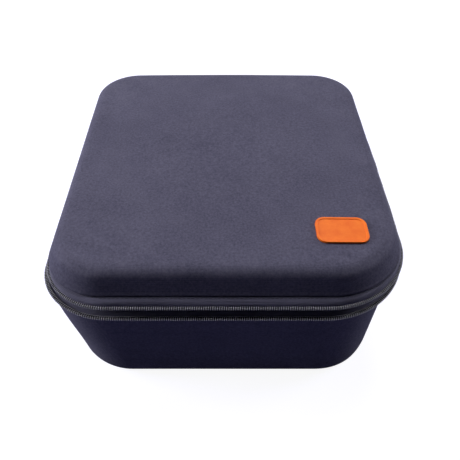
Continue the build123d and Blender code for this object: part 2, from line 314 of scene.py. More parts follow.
def threadMaterial(name, dark, light):
    # Spun thread, darker between its slanting strands
    tree = Tree(name)
    twist = tree.bands("DIAGONAL", 0.35)
    colour = tree.blend(tree.plus(tree.times(twist, 0.6), 0.2), dark, light)
    tree.bump(twist, 0.06)
    return tree.finish(colour, 0.75, sheen=0.05, specular=0.1)


def foamMaterial(name, dark, light, cell):
    # Closed-cell foam: tiny pores with a few larger ones
    tree = Tree(name)
    pores = tree.add("ShaderNodeTexVoronoi", {"Vector": tree.place, "Scale": 1 / (cell * mm)}, feature="F1")
    depth = tree.span(pores.outputs["Distance"], 0.1, 0.6)
    slow = tree.noise(45.0, detail=4.0)
    tone = tree.plus(tree.times(depth, 0.5), tree.times(slow, 0.5))
    tree.bump(tree.plus(depth, tree.noise(2500.0)), 0.22)
    return tree.finish(tree.blend(tone, dark, light), 0.92, specular=0.2)


def metalMaterial(name, paint, worn):
    # Black painted zinc, rubbed through to a dull grey here and there
    tree = Tree(name)
    rub = tree.span(tree.noise(180.0, detail=6.0, rough=0.65), 0.6, 0.75)
    colour = tree.blend(tree.times(rub, 0.7), paint, worn)
    tree.bump(tree.noise(900.0), 0.03, 0.6)
    return tree.finish(colour, tree.span(rub, 0.0, 1.0, 0.32, 0.5), specular=0.6, metallic=0.35)


def badgeMaterial(name, plain, deep):
    # Soft moulded resin, a little cloudy
    tree = Tree(name)
    cloud = tree.noise(120.0, detail=3.0)
    colour = tree.blend(tree.span(cloud, 0.35, 0.65), deep, plain)
    tree.bump(tree.noise(1400.0), 0.03, 0.5)
    return tree.finish(colour, tree.span(cloud, 0.3, 0.7, 0.38, 0.46), specular=0.15)


coverCloth = clothMaterial(
    "cover_cloth", (0.048, 0.046, 0.080), (0.140, 0.134, 0.198), pitch=0.5, fibre=620.0, sheen=0.03, depth=0.09,
    wear=0.2)
liningCloth = clothMaterial(
    "lining_cloth", (0.028, 0.028, 0.033), (0.062, 0.061, 0.071), pitch=0.7, fibre=900.0, sheen=0.15,
    depth=0.12)
coilNylon = nylonMaterial("coil_nylon", (0.23, 0.223, 0.30), (0.40, 0.388, 0.50))
greyThread = threadMaterial("grey_thread", (0.060, 0.059, 0.078), (0.14, 0.137, 0.172))
tapeThread = threadMaterial("tape_thread", (0.045, 0.044, 0.066), (0.10, 0.097, 0.14))
# Sewing for the base's row: a real thread, made pale as a painted highlight because that row lies in the lid's
# shade
glintPaintedThread = threadMaterial("pale_thread", (0.30, 0.298, 0.33), (0.56, 0.555, 0.60))
# The coils' core: a real cord, made near black as painted shade in the gaps between the turns
coreCordPaintedShade = threadMaterial("black_thread", (0.003, 0.003, 0.004), (0.007, 0.007, 0.009))
insertFoam = foamMaterial("insert_foam", (0.036, 0.036, 0.041), (0.080, 0.080, 0.088), 0.5)
shellFoam = foamMaterial("shell_foam", (0.030, 0.030, 0.034), (0.060, 0.060, 0.066), 0.35)
blackMetal = metalMaterial("black_metal", (0.020, 0.020, 0.023), (0.19, 0.19, 0.20))
badgeResin = badgeMaterial("badge_resin", (0.93, 0.200, 0.022), (0.86, 0.150, 0.014))
print("materials made")


# The two moulded covers, each a skin of loops from the middle of its panel to its lip
coverLook = {
    "leftSlack": 7.5, "rightTuck": 1.3,
    "panelLoops": 26, "floorLoops": 6, "coreLoops": 8, "arcSteps": 10, "arcFullness": 0.17, "wallSteps": 12,
    "lipRounding": 1.3, "lipSteps": 4, "lipTurn": 0.4, "lipGap": 0.9,
    "waves": 0.22, "waveLength": 70.0, "waveSpread": 0.0015, "waveRise": 0.6,
    "fineWaves": (0.4, 2.7),  # their share, and how many times finer they are
    # the rubbed line round each shell's edge: its height and half width
    "lidRub": (case["height"] - 5.0, 4.0),
    "baseRub": (4.0, 5.0),
}


def crownHeight(x, y, depth):
    crownHalf = case["halfDepth"] - lidShape["lean"]
    rise = lidShape["crownRise"]
    ball = (crownHalf ** 2 + rise ** 2) / (2 * rise)
    return case["height"] - depth - (x * x + y * y) / (2 * (ball - depth))


def arcBetween(start, cornerPoint, end, steps):
    # A fillet that leaves start towards the corner and arrives at end
    points = []
    pull = [mixed(cornerPoint[k], (start[k] + end[k]) / 2, coverLook["arcFullness"]) for k in range(2)]
    for i in range(steps + 1):
        t = i / steps
        points.append(tuple(
            (1 - t) ** 2 * start[k] + 2 * t * (1 - t) * pull[k] + t * t * end[k] for k in range(2)))
    return points


def lidProfile(depth):
    # (distance in from the rim, height) down the lid's wall, outside its flat panel
    edge = case["height"] - lidShape["crownRise"] - depth
    height = edge - lidShape["wallBottom"]
    lean = lidShape["lean"] * height / (case["height"] - lidShape["crownRise"] - lidShape["wallBottom"])
    radius = lidShape["edgeRounding"] - depth
    angle = math.atan2(lean, height)
    reach = radius * math.tan((math.pi / 2 - angle) / 2)
    topEdge = (depth + lean, edge)
    onPanel = (topEdge[0] + reach, edge)
    onWall = (topEdge[0] - reach * math.sin(angle), edge - reach * math.cos(angle))
    points = arcBetween(onPanel, topEdge, onWall, coverLook["arcSteps"])
    for i in range(1, coverLook["wallSteps"] + 1):
        t = i / coverLook["wallSteps"]
        points.append((mixed(onWall[0], depth, t), mixed(onWall[1], lidShape["wallBottom"], t)))
    return points


def baseProfile(depth):
    # (distance in from the wall's outline, height) round the bottom edge and up the base's wall
    radius = baseShape["bottomRounding"] - depth
    start = (depth + radius, depth)
    end = (depth, depth + radius)
    points = arcBetween(start, (depth, depth), end, coverLook["arcSteps"])
    for i in range(1, coverLook["wallSteps"] + 1):
        t = i / coverLook["wallSteps"]
        points.append((depth, mixed(depth + radius, baseShape["wallTop"], t)))
    return points


def baseOutline(inset, z):
    t = z / baseShape["wallTop"]
    w = case["halfWidth"] - baseShape["sideLean"] * (1 - t) - inset
    d = case["halfDepth"] - baseShape["endLean"] * (1 - t) - inset
    r = max(mixed(baseShape["floorRadius"], case["rimRadius"], t) - inset, baseShape["leastRadius"])
    return (-w, w, -d, d, cornerRadii(r, r, inset, case["cornerEase"]))


def lidOutline(inset, depth):
    # The back leans in further than the other sides, and its corners are squarer
    lean = inset - depth
    share = min(lean / lidShape["lean"], 1.0)
    smaller = depth + max(lean - lidShape["lean"], 0.0)
    front = mixed(case["rimRadius"], lidShape["crownRadius"], share) - smaller
    back = mixed(case["rimRadius"], lidShape["backRadius"], share) - smaller
    w = case["halfWidth"] - inset
    d = case["halfDepth"] - inset
    radii = cornerRadii(back, front, depth, lidShape["cornerEase"])
    return (-w, w, -d, d - lidShape["backLean"] * share, radii)


def withLip(profile, depth, away):
    # Carries a wall's profile round its shoulder into the channel and along the lip
    channel = case["channel"]
    shoulder = lidShape["wallBottom"] if away < 0 else baseShape["wallTop"]
    lipEnd = case["parting"] - away * coverLook["lipGap"]
    bend = coverLook["lipRounding"]
    profile = [p for p in profile if abs(p[1] - shoulder) > bend]
    profile += arcBetween(
        (depth, shoulder - away * bend), (depth, shoulder), (depth + bend, shoulder), coverLook["lipSteps"])
    for z in (shoulder + away * coverLook["lipTurn"], mixed(shoulder, lipEnd, 0.5), lipEnd):
        profile.append((depth + channel, z))
    return profile


def unevenly(points):
    # A soft unevenness of moulded foam under cloth
    moved = []
    share, finer = coverLook["fineWaves"]
    for x, y, z in points:
        place = Vector((x, y, z)) / coverLook["waveLength"]
        lift = coverLook["waves"] * (noise.noise(place) + share * noise.noise(place * finer))
        spread = 1 + lift * coverLook["waveSpread"]
        moved.append((x * spread, y * spread, z + lift * coverLook["waveRise"]))
    return moved


def panelRows(loops, panel, heightAt):
    # Copies of a panel's edge, from near its middle outwards
    rows = []
    for k in range(1, panel):
        share = k / panel
        rows.append([(x * share, y * share, heightAt(x * share, y * share)) for x, y, z in loops[0]])
    return rows


def moulded(name, loops, panel, heightAt, material, thickness, wearAt=None):
    # A skin from the middle of its panel over its edge and down its wall
    rows = panelRows(loops, panel, heightAt) + loops
    count = len(loops[0])
    points = [p for row in rows for p in row] + [(0.0, 0.0, heightAt(0.0, 0.0))]
    faces = skinFaces(len(rows), count, True)
    faces += [(len(points) - 1, (i + 1) % count, i) for i in range(count)]
    obj = makeObject(name, unevenly(points), faces, material)
    if wearAt:
        layer = obj.data.attributes.new("wear", "FLOAT", "POINT")
        layer.data.foreach_set("value", [wearAt(v.co / mm) for v in obj.data.vertices])
    return thickened(obj, thickness, -1.0)


def foamCore(name, outer, inner, panel, outerHeight, innerHeight, material):
    # The moulded foam between cover and lining, closed over the rim's edge
    rows = panelRows(outer, panel, outerHeight) + outer
    rows += (panelRows(inner, panel, innerHeight) + inner)[::-1]
    count = len(outer[0])
    points = [p for row in rows for p in row]
    points += [(0.0, 0.0, outerHeight(0.0, 0.0)), (0.0, 0.0, innerHeight(0.0, 0.0))]
    faces = skinFaces(len(rows), count, True)
    first = len(points) - 2
    last = (len(rows) - 1) * count
    faces += [(first, (i + 1) % count, i) for i in range(count)]
    faces += [(first + 1, last + i, last + (i + 1) % count) for i in range(count)]
    return makeObject(name, unevenly(points), faces, material)


def lidLoops(depth, lip):
    # Loops round the lid at one depth in its wall, from the edge of its crowned panel down
    profile = lidProfile(depth)
    if lip:
        profile = withLip(profile, depth, -1)
    loops = []
    edge = case["height"] - lidShape["crownRise"] - depth
    rounded = lidShape["edgeRounding"] * lidShape["crownBlend"]
    for inset, z in profile:
        outline = lidOutline(inset, depth) if z >= lidShape["wallBottom"] else rimOutline(-inset)
        share = smooth((z - edge + rounded) / rounded)
        loops.append([
            (x, y, z + share * (crownHeight(x, y, depth) - edge)) for x, y, outX, outY in loopRound(outline)])
    return loops


def baseLoops(depth, lip):
    # The cover and the foam's outer face follow the loose walls, the lining doesn't
    profile = baseProfile(depth)
    if lip:
        profile = withLip(profile, depth, 1)
    loops = []
    for inset, z in profile:
        outline = baseOutline(inset, z) if z <= baseShape["wallTop"] else rimOutline(-inset)
        onWall = z <= baseShape["wallTop"] and inset < depth + case["channel"]
        share = looseShare(z) if lip and onWall else 0.0
        loops.append([(x + share * wallShift(x, y), y, z) for x, y, outX, outY in loopRound(outline)])
    return loops


def looseShare(z):
    # With the zip undone the base's walls stand a little loose towards their rim
    start, length, ease = baseShape["slackEase"]
    return smooth(z / baseShape["slackGrowth"]) * (1 - ease * smooth((z - start) / length))


def wallShift(x, y):
    # The loose walls move to the left: out on the left side, in on the right
    start, length = baseShape["slackBack"]
    fade = smooth((case["halfDepth"] - start - y) / length)
    start, length = baseShape["slackSide"]
    left = coverLook["leftSlack"] * smooth((-x - start) / length)
    right = coverLook["rightTuck"] * smooth((x - start) / length)
    return -fade * (left + right)


def rubbedAt(height, half):
    # How worn the cloth is near one height
    return lambda place: math.exp(-((place.z - height) / half) ** 2)


def rimEdge(inset, z):
    # One loop inside the rim, at one height
    return [(x, y, z) for x, y, outX, outY in loopRound(rimOutline(-inset))]


def crownAt(depth):
    return lambda x, y: crownHeight(x, y, depth)


def levelAt(z):
    return lambda x, y: z


def settled(obj, body, slotName, *nodes):
    # A piece that moves with one body and stands for the named CAD nodes
    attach(obj, body)
    if nodes:
        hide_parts(*nodes)
    return obj


def bending(obj, node):
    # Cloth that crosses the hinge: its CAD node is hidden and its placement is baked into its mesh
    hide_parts(node)
    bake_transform(obj)
    return obj


lidCover = moulded(
    "lid_cover", lidLoops(0.0, True), coverLook["panelLoops"], crownAt(0.0), coverCloth, layers["cover"],
    rubbedAt(*coverLook["lidRub"]))
baseCover = moulded(
    "base_cover", baseLoops(0.0, True), coverLook["floorLoops"], levelAt(0.0), coverCloth, layers["cover"],
    rubbedAt(*coverLook["baseRub"]))
print("covers made")

# The foam under each cover
foamInside = foamDepth + layers["foam"]
lidEdge, baseEdge = (
    [rimEdge(foamInside, case["parting"] + away * coverLook["lipGap"])] for away in (1, -1))
lidFoam = foamCore(
    "lid_foam_shell", lidLoops(foamDepth, True), lidLoops(foamInside, False) + lidEdge,
    coverLook["coreLoops"], crownAt(foamDepth), crownAt(foamInside), shellFoam)
baseFoam = foamCore(
    "base_foam_shell", baseLoops(foamDepth, True), baseLoops(foamInside, False) + baseEdge,
    coverLook["floorLoops"], levelAt(foamDepth), levelAt(foamInside), shellFoam)
settled(lidCover, "lid", "cover_fabric", "lid_outer_fabric")
settled(baseCover, "base", "cover_fabric", "base_outer_fabric")
settled(lidFoam, "lid", "eva_foam", "lid_shell")
settled(baseFoam, "base", "eva_foam", "base_shell")
print("foam shells made")

# Linings, bonded to the inside of each shell and trimmed short of its edge
liningTrim = 1.0
settled(moulded(
    "lid_lining_cloth", lidLoops(liningDepth, False) + [rimEdge(liningDepth, case["parting"] + liningTrim)],
    coverLook["panelLoops"], crownAt(liningDepth), liningCloth, layers["lining"]),
    "lid", "lining_fabric", "lid_lining")
settled(moulded(
    "base_lining_cloth", baseLoops(liningDepth, False) + [rimEdge(liningDepth, case["parting"] - liningTrim)],
    coverLook["floorLoops"], levelAt(liningDepth), liningCloth, layers["lining"]),
    "base", "lining_fabric", "base_lining")
print("linings made")


# Cloth strips that follow a path, with the weave in their own UV map
def ribbon(name, rows, material, thickness):
    # rows[k] holds the points at one place across the strip, all along its path
    along = [0.0]
    for a, b in zip(rows[0], rows[0][1:]):
        along.append(along[-1] + (Vector(b) - Vector(a)).length)
    across = [0.0]
    middle = len(rows[0]) // 2
    for a, b in zip(rows, rows[1:]):
        across.append(across[-1] + (Vector(b[middle]) - Vector(a[middle])).length)
    count = len(rows[0])
    obj = makeObject(name, [p for row in rows for p in row], skinFaces(len(rows), count, False), material)
    weave = obj.data.uv_layers.new(name="weave")
    for loop in obj.data.loops:
        k, i = divmod(loop.vertex_index, count)
        weave.data[loop.index].uv = (along[i] * mm, across[k] * mm)
    return thickened(obj, thickness, 0.0)


def ribbonMaterial(name, dark, light, rib, pick, sheen, depth):
    # Woven tape: lengthwise cords crossed by fine picks, in the strip's own UV map
    tree = Tree(name)
    uv = tree.add("ShaderNodeUVMap", uv_map="weave").outputs["UV"]
    split = tree.add("ShaderNodeSeparateXYZ", {0: uv})
    cords = tree.calc("SINE", tree.times(split.outputs["Y"], 2 * math.pi / (rib * mm)))
    picks = tree.calc("SINE", tree.times(split.outputs["X"], 2 * math.pi / (pick * mm)))
    fuzz = tree.noise(1300.0, detail=5.0, rough=0.7)
    height = tree.plus(tree.times(cords, 0.5), tree.times(picks, 0.25))
    height = tree.plus(height, fuzz)
    tone = tree.plus(tree.times(height, 0.35), tree.times(tree.noise(60.0), 0.5))
    colour = tree.blend(tree.span(tone, 0.15, 0.75), dark, light)
    tree.bump(height, depth)
    return tree.finish(colour, 0.88, sheen=sheen, specular=0.08)


tapeCloth = ribbonMaterial(
    "zip_tape_cloth", (0.080, 0.077, 0.124), (0.160, 0.154, 0.235), rib=1.1, pick=0.7, sheen=0.12, depth=0.12)
bindingCloth = ribbonMaterial(
    "binding_grosgrain", (0.014, 0.014, 0.018), (0.036, 0.036, 0.044), rib=9.0, pick=0.8, sheen=0.12, depth=0.2)
hingeCloth = ribbonMaterial(
    "hinge_cloth", (0.040, 0.039, 0.060), (0.078, 0.075, 0.112), rib=1.4, pick=0.9, sheen=0.15, depth=0.2)

# The two rows of the zip
coilRadius = 1.5
lidCoilLow, lidCoilHigh = (corner / mm for corner in map(Vector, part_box("lid_zip_coil")))
tailLow, tailHigh = (corner / mm for corner in map(Vector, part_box("right_tail_coil")))
rowHalf = lidCoilHigh.x - coilRadius
zipRow = {
    "right": rowHalf + 0.8,
    "lidLeft": rowHalf - 1.0,
    "baseLeft": rowHalf + 2.7,  # the base's row hangs out where the zip is undone
    "front": -lidCoilLow.y - coilRadius + 2.0, "back": lidCoilHigh.y - coilRadius,
    "frontRight": 61.0, "frontLeft": 46.5, "sideBow": 0.8,
    "stub": 0.4,  # the straight run left between a rear corner and the tail
    "openStart": tailHigh.x + 0.2, "tailStart": tailLow.x, "tailEnd": tailHigh.x,
    "halfGap": 2.3, "lidRise": 4.6, "baseDrop": 2.4, "cornerLift": 2.6,
    "liftSide": (70, 50),  # where it starts left of the middle, and over what distance
    "liftFront": (0.6, 0.3),  # the same as shares of the way from back to front
    "ripple": 0.35, "rippleLength": 24.0, "rippleOut": 0.6,
    "rippleFade": (20, 60),  # where it starts in front of the back, and over what distance
    "fineRipple": (0.5, 2.3),  # the finer ripple's share, and how many times finer it is
    "rowsApart": 400.0,  # keeps the two rows' ripples unlike each other
}


def rowOutline(away, by=0.0):
    # Seen from above: the lid's row with away 1, the base's with -1
    left = zipRow["lidLeft"] if away > 0 else zipRow["baseLeft"]
    corners = (
        zipRow["right"] - zipRow["openStart"] - zipRow["stub"], zipRow["frontRight"],
        zipRow["frontLeft"], left - zipRow["openStart"] - zipRow["stub"])
    return (
        -left - by, zipRow["right"] + by, -zipRow["front"] - by, zipRow["back"] + by,
        tuple(r + by for r in corners))


def rowHeight(x, y, away):
    # The undone rows part towards the front; the lower one rides up at its left corner
    share = (zipRow["back"] - y) / (zipRow["back"] + zipRow["front"])
    if away > 0:
        return case["parting"] + zipRow["halfGap"] + zipRow["lidRise"] * share
    sideFrom, sideOver = zipRow["liftSide"]
    frontFrom, frontOver = zipRow["liftFront"]
    lift = zipRow["cornerLift"] * smooth((-x - sideFrom) / sideOver) * smooth((share - frontFrom) / frontOver)
    return case["parting"] - zipRow["halfGap"] - zipRow["baseDrop"] * share + lift


def sideBow(y):
    # Both sides of the undone rows bulge a little halfway along
    t = (zipRow["back"] - y) / (zipRow["back"] + zipRow["front"])
    return zipRow["sideBow"] * math.sin(math.pi * min(1.0, max(0.0, t))) ** 2


def rowRipple(x, y, away):
    # The undone zip hangs a little unevenly, less near the sliders
    start, length = zipRow["rippleFade"]
    share, finer = zipRow["fineRipple"]
    fade = smooth((zipRow["back"] - y - start) / length)
    place = Vector((x, y, away * zipRow["rowsApart"])) / zipRow["rippleLength"]
    return zipRow["ripple"] * fade * (noise.noise(place) + share * noise.noise(place * finer))


def rowPath(away, start, by=0.0, lift=0.0):
    # The middle of a row's coil, or a line that far outside and above it
    points = []
    out = zipRow["rippleOut"]
    for x, y, outX, outY in loopRound(rowOutline(away, by), start):
        ripple = rowRipple(x, y, away)
        points.append((
            x + outX * (ripple * out + sideBow(y)), y + outY * ripple * out,
            rowHeight(x, y, away) + ripple + lift))
    return points


# Zip tapes, from the hem on the lip out to the coil
tapeLook = {
    "thickness": 0.55, "steps": 22, "under": 0.9, "seat": 0.5, "hemSewn": 0.3,
    "cord": 0.16, "cordPitch": 1.1, "cordOut": 0.6, "cordFade": 6, "dropShare": 0.7}
lidTapeLook = {"top": lidShape["wallBottom"] - 0.3, "edge": 0.9, "hem": 4.4, "bow": (0.92, 0.12)}
baseTapeLook = {"top": case["parting"] - 1.6, "edge": -0.1, "hem": 1.7, "bow": (0.62, 0.3)}


def zipTapeRows(away, look):
    # Rows from the sewn hem in the channel to the coil, in a slack bow with fine cords
    outer = loopRound(rowOutline(away, tapeLook["under"] - coilRadius), zipRow["openStart"])
    seat = loopRound(rimOutline(-case["channel"] + tapeLook["seat"]), zipRow["openStart"])
    steps = tapeLook["steps"]
    rows = [[] for i in range(steps + 3)]
    bowOut, bowDown = look["bow"]
    fade = tapeLook["cordFade"]
    share = tapeLook["cordOut"]
    for (rx, ry, outX, outY), (sx, sy, sOutX, sOutY) in zip(outer, seat):
        ripple = rowRipple(rx, ry, away)
        edge = rowHeight(rx, ry, away) + look["edge"] + ripple
        top = look["top"]
        bow = sideBow(ry)
        rows[0].append((sx, sy, top - look["hem"]))
        rows[1].append((sx, sy, top - look["hem"] * tapeLook["hemSewn"]))
        for i in range(steps + 1):
            t = i / steps
            u = 2 * t * (1 - t) * bowOut + t * t
            drop = top - edge
            z = top - drop * (2 * t * (1 - t) * bowDown + t * t)
            x = mixed(sx, rx + outX * (ripple * zipRow["rippleOut"] + bow), u)
            y = mixed(sy, ry + outY * ripple * zipRow["rippleOut"], u)
            length = math.hypot(rx - sx, ry - sy) + drop * tapeLook["dropShare"]
            cord = tapeLook["cord"] * math.cos(2 * math.pi * t * length / tapeLook["cordPitch"])
            cord *= smooth(t * fade) * smooth((1 - t) * fade)
            rows[i + 2].append((x + outX * cord * share, y + outY * cord * share, z + cord * share))
    return rows


for body, away, look in (("lid", 1, lidTapeLook), ("base", -1, baseTapeLook)):
    tape = ribbon(body + "_tape", zipTapeRows(away, look), tapeCloth, tapeLook["thickness"])
    settled(tape, body, "zip_tape", body + "_zip_tape")
print("zip tapes made")


# Geometry Nodes: small pieces set along a path
def startTree(name, inputs):
    # A new node group with a path and the named inputs going in, and geometry coming out
    tree = bpy.data.node_groups.new(name, "GeometryNodeTree")
    tree.interface.new_socket("Geometry", in_out="OUTPUT", socket_type="NodeSocketGeometry")
    tree.interface.new_socket("Path", in_out="INPUT", socket_type="NodeSocketGeometry")
    for label, kind in inputs.items():
        tree.interface.new_socket(label, in_out="INPUT", socket_type="NodeSocket" + kind)
    return tree, tree.nodes.new("NodeGroupInput").outputs, tree.nodes.new("NodeGroupOutput").inputs


def stretched(tree, shape, x, y, z):
    size = treeNode(tree, "ShaderNodeCombineXYZ", {"X": x, "Y": y, "Z": z})
    return treeNode(tree, "GeometryNodeTransform", {"Geometry": shape.outputs[0], "Scale": size.outputs[0]})


def placedAlong(tree, given, piece, result):
    # Sets one instance of piece at every pitch of the path, a little unevenly, facing along it
    wire = treeNode(tree, "GeometryNodeMeshToCurve", {"Mesh": given["Path"]})
    upright = treeNode(tree, "GeometryNodeSetCurveNormal", {"Curve": wire.outputs[0]}, mode="Z_UP")
    even = treeNode(
        tree, "GeometryNodeResampleCurve", {"Curve": upright.outputs[0], "Length": given["Pitch"]},
        mode="LENGTH")
    places = treeNode(tree, "GeometryNodeCurveToPoints", {"Curve": even.outputs[0]}, mode="EVALUATED")
    low, high = [treeNode(
        tree, "ShaderNodeVectorMath", {0: (way, way, way), "Scale": given["Unevenness"]}, operation="SCALE")
        for way in (-1.0, 1.0)]
    stray = treeNode(
        tree, "FunctionNodeRandomValue",
        {0: low.outputs[0], 1: high.outputs[0], "Seed": given["Seed"]}, data_type="FLOAT_VECTOR")
    lean = treeNode(tree, "ShaderNodeVectorMath", {0: stray.outputs[0], 1: given["Slant"]}, operation="ADD")
    turned = treeNode(
        tree, "FunctionNodeRotateRotation",
        {"Rotation": places.outputs["Rotation"], "Rotate By": lean.outputs[0]}, rotation_space="LOCAL")
    copies = treeNode(
        tree, "GeometryNodeInstanceOnPoints",
        {"Points": places.outputs["Points"], "Instance": piece, "Rotation": turned.outputs[0]})
    real = treeNode(tree, "GeometryNodeRealizeInstances", {"Geometry": copies.outputs[0]})
    soft = treeNode(tree, "GeometryNodeSetShadeSmooth", {"Geometry": real.outputs[0]})
    painted = treeNode(
        tree, "GeometryNodeSetMaterial", {"Geometry": soft.outputs[0], "Material": given["Material"]})
    tree.links.new(painted.outputs[0], result[0])


rowInputs = {"Pitch": "Float", "Unevenness": "Float", "Slant": "Vector", "Seed": "Int", "Material": "Material"}

# One turn of the coil: a wire bent into a rounded loop round the path
coilTree, given, result = startTree(
    "coil_turns", {**rowInputs, "Half Width": "Float", "Half Height": "Float", "Wire": "Float"})
ring = treeNode(coilTree, "GeometryNodeCurvePrimitiveCircle", {"Resolution": 9, "Radius": 1.0})
squeezed = stretched(coilTree, ring, given["Half Width"], given["Half Height"], 1.0)
wire = treeNode(coilTree, "GeometryNodeCurvePrimitiveCircle", {"Resolution": 5, "Radius": given["Wire"]})
turn = treeNode(
    coilTree, "GeometryNodeCurveToMesh", {"Curve": squeezed.outputs[0], "Profile Curve": wire.outputs[0]})
placedAlong(coilTree, given, turn.outputs[0], result)

# One stitch: a short spindle of thread
stitchTree, given, result = startTree("stitches", {**rowInputs, "Length": "Float", "Thread": "Float"})
bead = treeNode(stitchTree, "GeometryNodeMeshUVSphere", {"Segments": 6, "Rings": 5, "Radius": 1.0})
half = treeNode(stitchTree, "ShaderNodeMath", {0: given["Length"], 1: 0.5}, operation="MULTIPLY")
spindle = stretched(stitchTree, bead, given["Thread"], given["Thread"], half.outputs[0])
placedAlong(stitchTree, given, spindle.outputs[0], result)


def alongPath(name, tree, points, values):
    # Runs one of the two trees over a path and keeps what it makes
    mesh = bpy.data.meshes.new(name)
    edges = [(i, i + 1) for i in range(len(points) - 1)]
    mesh.from_pydata([(p[0] * mm, p[1] * mm, p[2] * mm) for p in points], edges, [])
    obj = linked(name, mesh)
    modifier = obj.modifiers.new("rows", "NODES")
    modifier.node_group = tree
    for socket in tree.interface.items_tree:
        if socket.in_out == "INPUT" and socket.name in values:
            modifier[socket.identifier] = values[socket.name]
    return applyModifiers(obj)


coilLook = {
    "pitch": 1.5, "tailHalfWidth": 1.12, "halfWidth": 1.55, "halfHeight": 1.1, "wire": 0.22,
    "slant": (0.03, 0.03, 0.0), "unevenness": 0.03, "coreGap": 0.05}
# The sewing that holds each coil on its tape: how far out and up from its middle, length, thickness
lidSewing = {"out": -1.5, "up": 0.95, "length": 1.2, "thread": 0.2}
baseSewing = {"out": -0.7, "up": 1.15, "length": 0.95, "thread": 0.32}
tailSewing = {"out": -0.75, "up": 1.3, "length": 1.2, "thread": 0.2}
# Seams: row is the tape's row that is sewn, proud the share of its thickness that they lie above it
stitchLook = {"pitch": 2.9, "length": 2.3, "thread": 0.22, "unevenness": 0.06, "row": 7, "proud": 0.6}


def tubeRings(points, halfWidth, halfHeight, sides=12):
    # Rings of an oval cord along the points, across and up at each one
    rings = []
    for i, p in enumerate(points):
        ahead = Vector(points[min(i + 1, len(points) - 1)]) - Vector(points[max(i - 1, 0)])
        ahead.normalize()
        side = ahead.cross(Vector((0, 0, 1))).normalized()
        up = side.cross(ahead)
        ring = []
        for k in range(sides):
            a = 2 * math.pi * k / sides
            ring.append(tuple(Vector(p) + side * halfWidth * math.cos(a) + up * halfHeight * math.sin(a)))
        rings.append(ring)
    return rings


def stitchesAlong(name, points, look, pitch, seed, material):
    return alongPath(name, stitchTree, points, {
        "Pitch": pitch * mm, "Unevenness": stitchLook["unevenness"], "Slant": (0.0, 0.0, 0.0), "Seed": seed,
        "Material": material, "Length": look["length"] * mm, "Thread": look["thread"] * mm})


def coilRow(name, path, sewnPath, sewing, threadMade, halfWidth, body, node, seed):
    # The coil's turns, their sewing and the core cord that they are wound on, near black as painted shade
    # between the turns
    turns = alongPath(name, coilTree, path, {
        "Pitch": coilLook["pitch"] * mm, "Unevenness": coilLook["unevenness"], "Slant": coilLook["slant"],
        "Seed": seed, "Material": coilNylon, "Half Width": halfWidth * mm,
        "Half Height": coilLook["halfHeight"] * mm, "Wire": coilLook["wire"] * mm})
    threads = stitchesAlong(name + "_thread", sewnPath, sewing, coilLook["pitch"], seed + 1, threadMade)
    inset = coilLook["wire"] + coilLook["coreGap"]
    cord = tubeRings(path, halfWidth - inset, coilLook["halfHeight"] - inset)
    core = sweptPiece(name + "_core", cord, coreCordPaintedShade)
    settled(turns, body, "zip_coil", node)
    settled(threads, body, "zip_coil")
    settled(core, body, "zip_coil")


# The base's row is sewn with the pale thread, whose paleness is a painted highlight on a row that lies in shade
for body, away, start, sewing, threadMade in (
        ("lid", 1, zipRow["openStart"], lidSewing, tapeThread),
        ("base", -1, zipRow["tailStart"], baseSewing, glintPaintedThread)):
    coilRow(
        body + "_coil", rowPath(away, start), rowPath(away, start, sewing["out"], sewing["up"]), sewing,
        threadMade, coilLook["halfWidth"], body, body + "_zip_coil", 3)

# The closed tails of the lid's row, joined to the base's row behind the sliders
for side, sideName in ((1, "right"), (-1, "left")):
    level = rowHeight(side * zipRow["tailEnd"], zipRow["back"], 1)
    ends = (side * zipRow["tailStart"], side * zipRow["tailEnd"])
    row = [(mixed(*ends, t / 8), zipRow["back"], level) for t in range(9)]
    sewn = [(x, y + tailSewing["out"], z + tailSewing["up"]) for x, y, z in row]
    coilRow(
        sideName + "_tail_turns", row, sewn, tailSewing, greyThread, coilLook["tailHalfWidth"], "base",
        sideName + "_tail_coil", 5)
print("coils made")


def stitchLine(name, points, body, seed, material):
    settled(stitchesAlong(name, points, stitchLook, stitchLook["pitch"], seed, material), body, "zip_tape")


seamRow = zipTapeRows(1, lidTapeLook)[stitchLook["row"]]
raised = tapeLook["thickness"] * stitchLook["proud"]
stitchLine("lid_tape_seam", [(x, y, z + raised) for x, y, z in seamRow], "lid", 2, tapeThread)
print("stitches made")


# Bindings folded over the raw edges
bindingLook = {
    "baseEdge": 92.857, "lidEdge": 93.557, "thickness": 0.5, "outer": 1.75, "inner": 4.4, "steps": 12,
    "outerLeg": 1.2, "fold": (0.85, 0.6), "innerStart": 0.9, "innerLeg": 7.0, "seamIn": 4.72, "seamAlong": 5.6}


def bindingRows(edge, inward):
    # From the outer lip over the edge and down the inside leg
    rows = []
    look = bindingLook
    bend = (look["inner"] - look["outer"]) / 2
    foldIn, foldUp = look["fold"]
    start = look["innerStart"]
    profile = [(look["outer"], edge + inward * look["outerLeg"])]
    for i in range(look["steps"] + 1):
        a = math.pi * i / look["steps"]
        across = look["outer"] + bend * (1 - math.cos(a))
        profile.append((across, edge + inward * (foldIn - foldUp * math.sin(a))))
    leg = look["innerLeg"] - start
    profile += [(look["inner"], edge + inward * (start + leg * t / 4)) for t in range(1, 5)]
    for inset, z in profile:
        loop = loopRound(rimOutline(-inset))
        loop.append(loop[0])
        rows.append([(x, y, z) for x, y, outX, outY in loop])
    return rows


boundEdges = (("base", bindingLook["baseEdge"], -1, 6), ("lid", bindingLook["lidEdge"], 1, 7))
for body, edge, inward, seed in boundEdges:
    binding = ribbon(body + "_binding", bindingRows(edge, inward), bindingCloth, bindingLook["thickness"])
    settled(binding, body, "binding", body + "_edge_binding")
for body, edge, inward, seed in boundEdges:
    seam = rimEdge(bindingLook["seamIn"], edge + inward * bindingLook["seamAlong"])
    stitchLine(body + "_binding_seam", seam, body, seed, greyThread)
print("bindings made")


